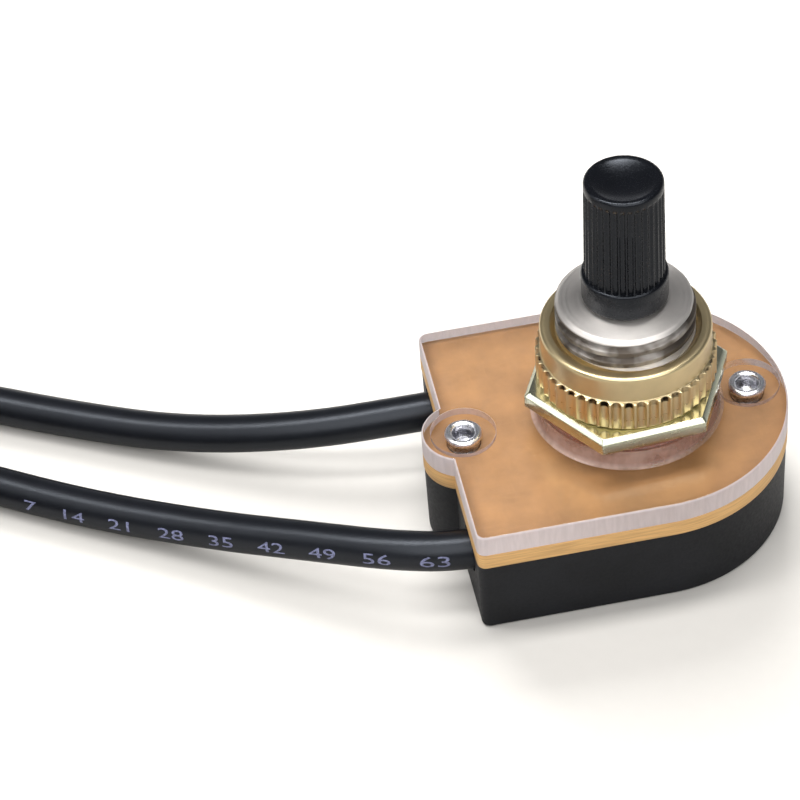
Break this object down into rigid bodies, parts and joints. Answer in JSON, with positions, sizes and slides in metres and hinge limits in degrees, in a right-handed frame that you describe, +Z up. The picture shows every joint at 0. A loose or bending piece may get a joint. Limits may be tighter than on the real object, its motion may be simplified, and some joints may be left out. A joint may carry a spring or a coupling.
{
  "type": "rotary switch",
  "caption": "Panel-mounted rotary lamp switch: D shaped cup, fibre plate and clear cover, threaded bushing with hex and ring nuts, fluted knob and insulated leads.",
  "frame": {"origin": "on the bushing's axis, in the plane of the cup's base", "axes": "+Z up along the spindle, +X to the round nose, leads towards -X"},
  "size_m": [0.0921, 0.0372, 0.0288],
  "materials": {
    "black_moulding": "moulded satin",
    "tan_fibre": "matt fibre board",
    "clear_plastic": "clear",
    "nickel": "plated",
    "yellow_zinc": "plated",
    "pale_brass": "satin",
    "bright_tin": "bright",
    "black_knob": "moulded satin",
    "steel": "turned",
    "grey_fibre": "matt fibre board",
    "spring_bronze": "rolled strip",
    "tinned_copper": "stranded",
    "black_lead": "semi gloss",
    "tie_nylon": "smooth"
  },
  "bodies": {
    "base": {"housing": "black_moulding", "fibre_plate": "tan_fibre", "cover_plate": "clear_plastic", "rivets": "bright_tin", "bushing": "nickel", "hex_nut": "yellow_zinc", "thrust_washer": "grey_fibre", "contact_blade_rear": "spring_bronze", "contact_blade_front": "spring_bronze", "lead_strands": "tinned_copper", "lead_rear": "black_lead", "lead_front": "black_lead", "lead_coil": "black_lead", "coil_tie": "tie_nylon", "bare_ends": "tinned_copper"},
    "turning_parts": {"knob": "black_knob", "spindle": "steel", "rotor": "grey_fibre", "bridge_strip": "spring_bronze"},
    "ring_nut": {"ring_nut": "pale_brass"}
  },
  "joints": [
    {"name": "knob_turn", "type": "hinge", "parent": "base", "child": "turning_parts", "pos_m": [0, 0, 0.01905], "axis": [0, 0, 1], "continuous": true},
    {"name": "ring_nut_travel", "type": "slide", "parent": "base", "child": "ring_nut", "axis": [0, 0, 1], "range_m": [0, 0.0068]}
  ]
}
